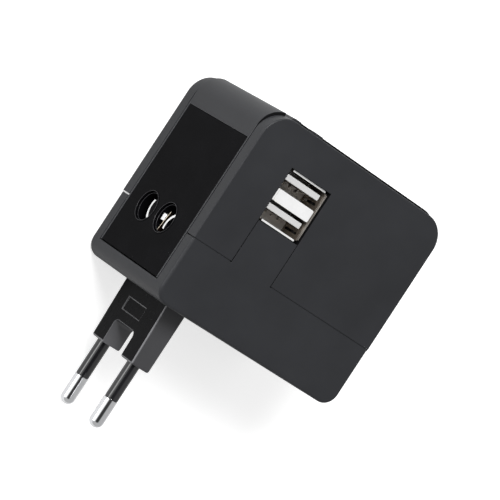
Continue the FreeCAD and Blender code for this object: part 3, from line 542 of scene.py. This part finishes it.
class MaterialShelf:
    """The materials made so far, one for each finish."""

    _made: ClassVar[dict[str, bpy.types.Material]] = {}

    @classmethod
    def take(cls, finish: Finish) -> bpy.types.Material:
        """Give the finish's material, built when first asked for.

        Args:
            finish: the finish.

        Returns:
            Its material.
        """
        if finish.name not in cls._made:
            cls._made[finish.name] = finish.build()
        return cls._made[finish.name]


# Turning meshes into finished pieces


@dataclass(frozen=True)
class Patch:
    """Faces of a piece that look one way, inside a box of the drawing, with another finish.

    The box is in millimetres, and within is how many degrees off that way a face may look.
    """

    finish: Finish
    facing: Facing
    low: tuple[float, float, float]
    high: tuple[float, float, float]
    within: float = 20.0

    def covers(self, face: bmesh.types.BMFace) -> bool:
        """Say whether a face belongs to the patch.

        Args:
            face: a face in the part's frame.

        Returns:
            True where it looks the right way and its middle is in the box.
        """
        if face.normal.dot(Vector(self.facing.value)) < math.cos(math.radians(self.within)):
            return False
        low = CORNER.point(*self.low)
        high = CORNER.point(*self.high)
        middle = face.calc_center_median()
        return all(low[axis] <= middle[axis] <= high[axis] for axis in range(3))


# Painted shade: the seam walls near the front seam that face the label side are near black.
SEAM_WALLS = Patch(
    PAINTED_SHADE_BLACK, Facing.LABEL_SIDE, (5.5, 1.0, 38.5), (60.0, 57.0, 43.2), within=60.0,
)


@dataclass(frozen=True)
class Piece:
    """How one finished piece is named, carried and dressed.

    An edge shows as sharp where its faces turn by more than the angle sharp, in degrees.
    """

    name: str
    body: Body
    finish: Finish
    patches: tuple[Patch, ...] = ()
    sharp: float = 30.0

    def make(self, mesh: bmesh.types.BMesh) -> bpy.types.Object:
        """Turn a bmesh into the piece's object.

        Args:
            mesh: the shape in the part's frame, freed here.

        Returns:
            The object, riding on its body.
        """
        mesh.normal_update()
        for face in mesh.faces:
            face.smooth = True
            face.material_index = 0
            for number, patch in enumerate(self.patches, start=1):
                if patch.covers(face):
                    face.material_index = number
        data = bpy.data.meshes.new(self.name)
        mesh.to_mesh(data)
        mesh.free()
        data.set_sharp_from_angle(angle=math.radians(self.sharp))
        for finish in (self.finish, *(patch.finish for patch in self.patches)):
            data.materials.append(MaterialShelf.take(finish))
        item = bpy.data.objects.new(self.name, data)
        bpy.context.scene.collection.objects.link(item)
        weigh = item.modifiers.new("weigh", "WEIGHTED_NORMAL")
        weigh.keep_sharp = True
        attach(item, self.body.value)
        log.info("%s on %s, %d faces", self.name, self.body.value, len(data.polygons))
        return item


def turned(profile: Iterable[tuple[float, float]], centre: Vector, steps: int = 48) -> bmesh.types.BMesh:
    """Spin a closed outline about a line that runs along the part's Y axis.

    Args:
        profile: points of the outline, each a radius and a place along Y, in metres.
        centre: a point on the line; its own place along Y isn't used.
        steps: divisions of the full turn.

    Returns:
        The turned shape, closed, with its faces outwards.
    """
    mesh = bmesh.new()
    corners = [mesh.verts.new((centre.x + radius, along, centre.z)) for radius, along in profile]
    sides = [mesh.edges.new(pair) for pair in zip(corners, corners[1:] + corners[:1])]
    bmesh.ops.spin(
        mesh, geom=corners + sides, cent=(centre.x, 0.0, centre.z), axis=(0.0, 1.0, 0.0),
        angle=FULL_TURN, steps=steps, use_merge=True,
    )
    bmesh.ops.remove_doubles(mesh, verts=mesh.verts, dist=SPIN_WELD)
    bmesh.ops.recalc_face_normals(mesh, faces=mesh.faces)
    return mesh


def soft_bar(low: Vector, high: Vector, edge: float, segments: int = 3) -> bmesh.types.BMesh:
    """Make a bar with rounded edges.

    Args:
        low: its lowest corner.
        high: its highest corner.
        edge: radius of its edges in metres.
        segments: divisions of each rounded edge.

    Returns:
        The bar.
    """
    mesh = bmesh.new()
    size = high - low
    place = Matrix.Translation((low + high) / 2) @ Matrix.Diagonal((*size, 1.0))
    bmesh.ops.create_cube(mesh, size=1.0, matrix=place)
    bmesh.ops.bevel(
        mesh, geom=mesh.edges[:], offset=edge, offset_type="OFFSET", segments=segments,
        profile=0.5, affect="EDGES", material=-1, clamp_overlap=True,
    )
    return mesh


@dataclass(frozen=True)
class SubAssembly:
    """Pieces that one body carries; sizes are in millimetres and angles in degrees."""

    body: Body
    fine_edge: float = 0.05
    crease: float = 32.0
    edge_segments: int = 2
    weld: float = 0.002
    flat: float = 0.6

    def carry(self, node: str, finish: Finish, edge: float, *patches: Patch) -> bpy.types.Object:
        """Dress a CAD node whose shape stays, as a merged copy with softened edges.

        Args:
            node: the node's name.
            finish: what it is made of.
            edge: how far its sharp edges are softened, in millimetres.
            patches: faces with another finish.

        Returns:
            The new piece, which stands for the node.
        """
        mesh = bmesh.new()
        mesh.from_mesh(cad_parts[node].data)
        bmesh.ops.remove_doubles(mesh, verts=mesh.verts, dist=self.weld * MM)
        bmesh.ops.dissolve_limit(
            mesh, angle_limit=math.radians(self.flat), verts=mesh.verts, edges=mesh.edges,
        )
        if edge > UNSOFTENED:
            least = math.radians(self.crease)
            creased = [
                side for side in mesh.edges
                if len(side.link_faces) == 2 and side.calc_face_angle() > least
            ]
            bmesh.ops.bevel(
                mesh, geom=creased, offset=edge * MM, offset_type="OFFSET",
                segments=self.edge_segments, profile=0.5, affect="EDGES", material=-1,
                clamp_overlap=True,
            )
        item = Piece(node + "_dressed", self.body, finish, patches).make(mesh)
        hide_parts(node)
        return item

    def bar(
        self, name: str, finish: Finish,
        low: tuple[float, float, float], high: tuple[float, float, float],
    ) -> bpy.types.Object:
        """Add a small bar with rounded edges.

        Args:
            name: the piece's name.
            finish: what it is made of.
            low: its lowest corner in the drawing.
            high: its highest corner in the drawing.

        Returns:
            The bar.
        """
        mesh = soft_bar(CORNER.point(*low), CORNER.point(*high), self.fine_edge * MM)
        return Piece(name, self.body, finish).make(mesh)

    def build(self) -> None:
        """Make every piece; each sub-assembly has its own way."""
        raise NotImplementedError


# The adapter's sub-assemblies


@dataclass(frozen=True)
class CoreShell(SubAssembly):
    """The core's housing and the plate that closes its foot."""

    body: Body = Body.CORE
    shell_edge: float = 0.08
    groove_low: tuple[float, float, float] = (-1.0, 4.0, 38.2)
    groove_high: tuple[float, float, float] = (68.0, 60.0, 39.1)
    rim_low: tuple[float, float, float] = (-0.5, 1.0, 4.0)
    rim_high: tuple[float, float, float] = (0.6, 50.0, 39.0)

    def build(self) -> None:
        """Dress the housing, with painted shade in the groove and a painted highlight on its rounded
        edges, and the foot.
        """
        # Painted shade: faces in the groove that face the front are near black.
        groove = Patch(PAINTED_SHADE_BLACK, Facing.FRONT, self.groove_low, self.groove_high)
        # Painted highlight: rounded edges toward the label side are paler; the flat faces there keep the
        # plain shell.
        rim = Patch(SHELL_EDGE_HIGHLIGHT, Facing.LABEL_SIDE, self.rim_low, self.rim_high, within=66.0)
        flat = Patch(SHELL, Facing.LABEL_SIDE, self.rim_low, self.rim_high, within=12.0)
        self.carry("core_housing", SHELL, self.shell_edge, groove, rim, flat)
        self.carry("core_base", SHELL, self.shell_edge)
        self.carry("base_screws", SCREW_STEEL, self.fine_edge)


@dataclass(frozen=True)
class SideSockets(SubAssembly):
    """The label panel with its two round sockets and their contacts."""

    body: Body = Body.CORE
    panel_edge: float = 0.08
    well_edge: float = 0.1
    spring_edge: float = 0.08
    lug_edge: float = 0.06
    hole_height: float = 18.95
    hole_depths: tuple[float, float] = (14.65, 25.65)
    hole_radius: float = 4.5
    ledge_radius: float = 4.15
    ledge_drop: float = 0.75
    glint: float = 0.06
    rim_sides: int = 8
    rim_steps: int = 64

    def build(self) -> None:
        """Dress the panel, the wells and the springs with lit faces and painted-shade flanks, and put
        rings of painted highlight on the holes' rims.
        """
        self.carry("label_panel", PANEL, self.panel_edge)
        self.carry("side_socket_well", PANEL, self.well_edge)
        # Lit and shaded copies of the springs' metal: faces toward the label side bright nickel, the
        # flanks painted shade.
        lit_nickel_faces = Patch(SPRING_NICKEL, Facing.LABEL_SIDE, *EVERYWHERE, within=50.0)
        self.carry("side_contact_back", SPRING_PAINTED_SHADE, self.spring_edge, lit_nickel_faces)
        self.carry("side_contact_front", SPRING_PAINTED_SHADE, self.spring_edge, lit_nickel_faces)
        # Lit and shaded copies of the link strip's brass: faces toward the label side painted light, the
        # flanks painted shade.
        lit_brass_faces = Patch(BRASS_PAINTED_LIGHT, Facing.LABEL_SIDE, *EVERYWHERE, within=50.0)
        self.carry("side_link_strip", BRASS_PAINTED_SHADE, self.fine_edge, lit_brass_faces)
        self.carry("side_link_lug", SPRING_NICKEL, self.lug_edge)
        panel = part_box("label_panel")[0].x
        ledge = panel + self.ledge_drop * MM
        for place, depth in zip(("back", "front"), self.hole_depths):
            self.rim(f"hole_rim_{place}", panel, depth, self.hole_radius - self.glint)
            self.rim(f"ledge_rim_{place}", ledge, depth, self.ledge_radius - self.glint)

    def rim(self, name: str, left: float, depth: float, radius: float) -> bpy.types.Object:
        """Make a pale ring at a hole's edge, a painted highlight.

        Args:
            name: the piece's name.
            left: place of the edge along X, in metres.
            depth: the hole's place in the drawing's depth.
            radius: the hole's radius in millimetres.

        Returns:
            The ring.
        """
        middle = CORNER.point(0.0, self.hole_height, depth)
        mesh = bmesh.new()
        half = self.glint * MM
        place = Matrix.Translation((left + half, middle.y + radius * MM, middle.z))
        made = bmesh.ops.create_circle(
            mesh, segments=self.rim_sides, radius=half, cap_ends=False, matrix=place,
        )
        bmesh.ops.spin(
            mesh, geom=made["verts"] + mesh.edges[:], cent=(left, middle.y, middle.z),
            axis=(1.0, 0.0, 0.0), angle=FULL_TURN, steps=self.rim_steps, use_merge=True,
        )
        bmesh.ops.recalc_face_normals(mesh, faces=mesh.faces)
        return Piece(name, self.body, RIM_GLINT).make(mesh)


@dataclass(frozen=True)
class ChargerPorts(SubAssembly):
    """The double charger connector in the front face."""

    body: Body = Body.CORE
    sheet_edge: float = 0.06
    tongue_edge: float = 0.12
    contact_edge: float = 0.02
    lips_low: tuple[float, float, float] = (5.0, 25.0, 41.4)
    lips_high: tuple[float, float, float] = (27.0, 52.0, 44.0)
    right_low: tuple[float, float, float] = (27.0, 25.0, 41.0)
    right_high: tuple[float, float, float] = (28.4, 52.0, 44.0)
    flange_low: tuple[float, float, float] = (27.85, 33.0, 41.0)
    flange_high: tuple[float, float, float] = (28.16, 46.8, 42.3)
    divider_low: tuple[float, float, float] = (13.76, 38.25, 41.2)
    divider_high: tuple[float, float, float] = (14.9, 41.45, 42.06)
    shade_low: tuple[float, float, float] = (28.18, 33.0, 29.0)
    shade_high: tuple[float, float, float] = (28.4, 46.9, 41.9)

    def build(self) -> None:
        """Dress the can, painted light on its front lips and painted shade inside and on its right lip,
        its back wall, the tongues and the contacts, and add a black sheet of painted shade behind the
        slot.
        """
        # Lit and shaded copies of the can's steel: painted light on the front lips, painted shade on the
        # right lip and inside.
        lips = Patch(CAN_FRONT_PAINTED_LIGHT, Facing.FRONT, self.lips_low, self.lips_high, within=50.0)
        right = Patch(LIP_PAINTED_SHADE, Facing.FRONT, self.right_low, self.right_high, within=50.0)
        self.carry("usb_shell", CAN_INSIDE_PAINTED_SHADE, self.sheet_edge, right, lips)
        self.carry("usb_insulator", PORT_GREY, self.fine_edge)
        self.carry("usb_upper_tongue", WHITE, self.tongue_edge)
        self.carry("usb_lower_tongue", WHITE, self.tongue_edge)
        self.carry("usb_contacts", BRONZE, self.contact_edge)
        self.bar("divider_end", CAN_FRONT_PAINTED_LIGHT, self.divider_low, self.divider_high)
        # Black sheet behind the slot: painted shade where the cavity lies.
        self.bar("slot_shade", PAINTED_SHADE_BLACK, self.shade_low, self.shade_high)
        # The flange takes the grey copy, painted shade.
        self.bar("right_flange", LIP_PAINTED_SHADE, self.flange_low, self.flange_high)


@dataclass(frozen=True)
class UniversalSocket(SubAssembly):
    """The socket under the roof, with its contacts and the bars that feed them."""

    body: Body = Body.CORE
    face_edge: float = 0.12
    carrier_edge: float = 0.1

    def build(self) -> None:
        """Dress the insert, its carrier and the metal parts."""
        self.carry("socket_face", GLOSS, self.face_edge)
        self.carry("contact_carrier", WHITE, self.carrier_edge)
        for pole in ("line", "neutral"):
            self.carry(f"{pole}_contact", BRASS, self.fine_edge)
            self.carry(f"{pole}_bus_bar", BRASS, self.fine_edge)
            self.carry(f"{pole}_receptacle", BRASS, self.fine_edge)


@dataclass(frozen=True)
class SafetyShutter(SubAssembly):
    """The sliding shutter behind the universal socket's slots."""

    body: Body = Body.SHUTTER
    shutter_edge: float = 0.1

    def build(self) -> None:
        """Dress the shutter."""
        self.carry("shutter", RED, self.shutter_edge)


@dataclass(frozen=True)
class PowerBoard(SubAssembly):
    """The charger's circuit board and what stands on it."""

    body: Body = Body.CORE
    block_edge: float = 0.2
    part_edge: float = 0.1
    chip_edge: float = 0.08

    def build(self) -> None:
        """Dress the board and its components."""
        self.carry("circuit_board", BOARD, self.fine_edge)
        self.carry("transformer_core", FERRITE, self.block_edge)
        self.carry("transformer_winding", TAPE, self.part_edge)
        self.carry("input_capacitors", CAN_SLEEVE, UNSOFTENED)
        self.carry("output_capacitor", CAN_SLEEVE, UNSOFTENED)
        self.carry("filter_choke", COPPER, self.part_edge)
        self.carry("rectifier", GLOSS, self.part_edge)
        self.carry("controller_chip", GLOSS, self.chip_edge)
        self.carry("fuse_tube", CERAMIC, UNSOFTENED)
        self.carry("fuse_caps", NICKEL, self.part_edge)
        self.carry("fuse_clips", BRASS, self.chip_edge)


@dataclass(frozen=True)
class PlugModule(SubAssembly):
    """The lower module: a cradle with the plug head and its two pins."""

    body: Body = Body.PLUG
    shell_edge: float = 0.06
    head_edge: float = 0.12
    pin_edge: float = 0.1
    clamp_edge: float = 0.1
    sleeve_radius: float = 1.9
    sleeve_bore: float = 1.5
    sleeve_chamfer: float = 0.3
    sleeve_easing: float = 0.3
    lip_spans: tuple[tuple[float, float], ...] = ((1.0, 13.4), (29.0, 66.3))
    lip_foot: float = 18.4
    lip_top: float = 18.915
    lip_back: float = 39.3
    lip_front: float = 42.7
    notch_low: tuple[float, float, float] = (5.0, -25.0, 12.0)
    notch_high: tuple[float, float, float] = (24.0, -4.0, 22.0)

    def build(self) -> None:
        """Dress the cradle, with painted shade on its seam walls and its lips in the front seam, the
        head with painted highlights on its edges and notch wall, and the metal parts.
        """
        self.carry("cradle_shell", SHELL, self.shell_edge, SEAM_WALLS)
        for number, (left, right) in enumerate(self.lip_spans, start=1):
            low = (left, self.lip_foot, self.lip_back)
            high = (right, self.lip_top, self.lip_front)
            self.bar(f"seam_lip_{number}", SHELL, low, high)
        # Painted highlight: the head's rounded edges toward the label side get the paler copy.
        edges = Patch(HEAD_EDGE_HIGHLIGHT, Facing.LABEL_SIDE, *EVERYWHERE, within=62.0)
        broad = Patch(HEAD_FACE, Facing.LABEL_SIDE, *EVERYWHERE, within=14.0)
        far = Patch(HEAD_FACE, Facing.FAR_SIDE, *EVERYWHERE, within=14.0)
        # Painted light: the notch wall facing the front gets a lighter copy.
        notch = Patch(NOTCH_WALL_PAINTED_LIGHT, Facing.FRONT, self.notch_low, self.notch_high, within=40.0)
        self.carry("plug_head", HEAD_SIDE, self.head_edge, edges, broad, far, notch)
        for pole in ("line", "neutral"):
            self.carry(f"{pole}_pin", NICKEL, self.pin_edge)
            self.sleeve(f"{pole}_pin_sleeve")
            self.carry(f"{pole}_tab", BRASS, self.fine_edge)
        self.carry("pin_clamp", GLOSS, self.clamp_edge)
        self.carry("clamp_screws", SCREW_STEEL, self.fine_edge)

    def sleeve(self, node: str) -> bpy.types.Object:
        """Turn the insulating sleeve of a pin, with a bevelled foot.

        Args:
            node: the CAD node that the sleeve stands for.

        Returns:
            The sleeve.
        """
        low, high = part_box(node)
        outer = self.sleeve_radius * MM
        inner = self.sleeve_bore * MM
        slope = self.sleeve_chamfer * MM
        eased = self.sleeve_easing * slope
        outline = (
            (inner, low.y),
            (outer - slope, low.y),
            (outer - eased, low.y + eased),
            (outer, low.y + slope),
            (outer, high.y),
            (inner, high.y),
        )
        item = Piece(node + "_turned", self.body, SLEEVE).make(turned(outline, (low + high) / 2))
        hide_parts(node)
        return item


@dataclass(frozen=True)
class UpperCover(SubAssembly):
    """The upper module: a front plate and the roof over the universal socket."""

    body: Body = Body.COVER
    shell_edge: float = 0.06
    groove_low: tuple[float, float, float] = (-1.0, 57.3, 38.2)
    groove_high: tuple[float, float, float] = (68.0, 60.0, 39.1)

    def build(self) -> None:
        """Dress the cover, with painted shade at its end in the groove and on its seam walls."""
        # Painted shade: the cover's end in the groove is near black.
        groove = Patch(PAINTED_SHADE_BLACK, Facing.FRONT, self.groove_low, self.groove_high)
        self.carry("cover_shell", SHELL, self.shell_edge, groove, SEAM_WALLS)


# The studio


@dataclass(frozen=True)
class Viewpoint:
    """The camera: where it stands, what it looks at and how it is rolled.

    Places, lens and sensor are in millimetres, the roll is in degrees and the clipping in metres.
    """

    place: tuple[float, float, float] = (-449.704, 10.814, 696.995)
    aim: tuple[float, float, float] = (7.25, 13.414, 7.0)
    roll: float = 122.934
    lens: float = 217.024
    sensor: float = 36.0
    nearest: float = 0.05
    farthest: float = 20.0

    def build(self) -> bpy.types.Object:
        """Make the camera and make it the scene's own.

        Returns:
            The camera.
        """
        data = bpy.data.cameras.new("viewpoint")
        data.sensor_width = self.sensor
        data.lens = self.lens
        data.clip_start = self.nearest
        data.clip_end = self.farthest
        camera = bpy.data.objects.new("viewpoint", data)
        bpy.context.scene.collection.objects.link(camera)
        place = Vector(self.place) * MM
        turn = (Vector(self.aim) * MM - place).to_track_quat("-Z", "Y").to_matrix()
        turn = turn @ Matrix.Rotation(math.radians(self.roll), 3, "Z")
        camera.matrix_world = Matrix.Translation(place) @ turn.to_4x4()
        bpy.context.scene.camera = camera
        return camera


@dataclass(frozen=True)
class SoftBox:
    """A studio light that points at the adapter; its sizes are in metres."""

    name: str
    place: tuple[float, float, float]
    wide: float
    tall: float
    watts: float

    def build(self) -> bpy.types.Object:
        """Make the light.

        Returns:
            The light.
        """
        data = bpy.data.lights.new(self.name, "AREA")
        data.shape = "RECTANGLE"
        data.size = self.wide
        data.size_y = self.tall
        data.energy = self.watts
        light = bpy.data.objects.new(self.name, data)
        bpy.context.scene.collection.objects.link(light)
        light.location = self.place
        light.rotation_mode = "QUATERNION"
        light.rotation_quaternion = (-Vector(self.place)).to_track_quat("-Z", "Y")
        return light


@dataclass(frozen=True)
class SkyPatch:
    """A round part of the surroundings, brighter or darker than the rest; angles in degrees."""

    toward: tuple[float, float, float]
    half_angle: float
    fade: float
    tone: float

    def lay(
        self, sheet: ShaderSheet, direction: bpy.types.NodeSocket, below: bpy.types.NodeSocket | float,
    ) -> bpy.types.NodeSocket:
        """Lay the patch over what is there.

        Args:
            sheet: the world's sheet.
            direction: the direction that the light comes from.
            below: brightness where the patch doesn't reach.

        Returns:
            The brightness with the patch.
        """
        toward = sheet.add("VectorMath", operation="DOT_PRODUCT")
        toward.inputs[1].default_value = Vector(self.toward).normalized()
        sheet.join(direction, toward.inputs[0])
        rim = (
            math.cos(math.radians(self.half_angle + self.fade)),
            math.cos(math.radians(max(0.0, self.half_angle - self.fade))),
        )
        share = sheet.spread(toward.outputs["Value"], source=rim)
        mix = sheet.add("Mix", data_type="FLOAT")
        sheet.join(share, mix.inputs[sheet.mix_share])
        under, over = (mix.inputs[socket] for socket in sheet.mix_numbers)
        if isinstance(below, float):
            under.default_value = below
        else:
            sheet.join(below, under)
        over.default_value = self.tone
        return mix.outputs[sheet.mixed_number]


@dataclass(frozen=True)
class Studio:
    """Plain pale table that looks lit from below, dim surroundings and soft lights.

    Sizes are in metres. Camera rays alone see the table's glow and the pale backdrop.
    """

    half_floor: float = 3.0
    floor_drop: float = 0.0002
    floor_tone: float = 0.7
    floor_roughness: float = 0.9
    floor_glow: float = 0.63
    sky: float = 0.45
    backdrop: float = 0.9
    patches: tuple[SkyPatch, ...] = (
        SkyPatch((-1.0, 0.0, 0.25), 24.0, 10.0, 1.15),
        SkyPatch((-0.36, 0.0, 0.933), 25.0, 7.0, 0.04),
    )
    boxes: tuple[SoftBox, ...] = (
        SoftBox("key", (-0.45, 0.55, 0.9), 0.45, 0.45, 13.5),
        SoftBox("edge_strip", (-1.6, 0.0, 0.25), 1.4, 0.5, 7.5),
    )

    def build(self) -> None:
        """Make the floor, the surroundings and the lights."""
        self._floor()
        self._surroundings()
        for box in self.boxes:
            box.build()
        bpy.context.scene.view_settings.view_transform = "Standard"

    def _floor(self) -> None:
        """Make the pale table."""
        mesh = bmesh.new()
        under = Matrix.Translation((0.0, 0.0, -self.floor_drop))
        bmesh.ops.create_grid(mesh, x_segments=1, y_segments=1, size=self.half_floor, matrix=under)
        data = bpy.data.meshes.new("floor")
        mesh.to_mesh(data)
        mesh.free()
        floor = bpy.data.objects.new("floor", data)
        bpy.context.scene.collection.objects.link(floor)
        acrylic = bpy.data.materials.new("white_acrylic")
        acrylic.use_nodes = True
        shader = acrylic.node_tree.nodes["Principled BSDF"]
        shader.inputs["Base Color"].default_value = (self.floor_tone,) * 3 + (1.0,)
        shader.inputs["Roughness"].default_value = self.floor_roughness
        shader.inputs["Specular IOR Level"].default_value = 0.0
        shader.inputs["Emission Color"].default_value = (1.0, 1.0, 1.0, 1.0)
        sheet = ShaderSheet(acrylic.node_tree)
        seen = sheet.add("LightPath").outputs["Is Camera Ray"]
        glow = sheet.spread(seen, target=(0.0, self.floor_glow))
        sheet.join(glow, shader.inputs["Emission Strength"])
        data.materials.append(acrylic)

    def _surroundings(self) -> None:
        """Make the surroundings, pale where the camera sees them."""
        world = bpy.data.worlds.new("surroundings")
        world.use_nodes = True
        sheet = ShaderSheet(world.node_tree)
        direction = sheet.add("TexCoord").outputs["Generated"]
        bright: bpy.types.NodeSocket | float = self.sky
        for patch in self.patches:
            bright = patch.lay(sheet, direction, bright)
        seen = sheet.add("LightPath")
        mix = sheet.add("Mix", data_type="FLOAT")
        sheet.join(seen.outputs["Is Camera Ray"], mix.inputs[sheet.mix_share])
        under, over = (mix.inputs[socket] for socket in sheet.mix_numbers)
        sheet.join(bright, under)
        over.default_value = self.backdrop
        background = world.node_tree.nodes["Background"]
        sheet.join(mix.outputs[sheet.mixed_number], background.inputs["Color"])
        background.inputs["Strength"].default_value = 1.0
        bpy.context.scene.world = world


SUB_ASSEMBLIES: tuple[SubAssembly, ...] = (
    PlugModule(),
    UpperCover(),
    CoreShell(),
    SideSockets(),
    ChargerPorts(),
    UniversalSocket(),
    SafetyShutter(),
    PowerBoard(),
)


def main() -> None:
    """Build the camera, the studio and every sub-assembly in order."""
    logging.basicConfig(level=logging.INFO, format="%(name)s: %(message)s")
    Viewpoint().build()
    Studio().build()
    for assembly in SUB_ASSEMBLIES:
        assembly.build()


if __name__ == "__main__":
    main()
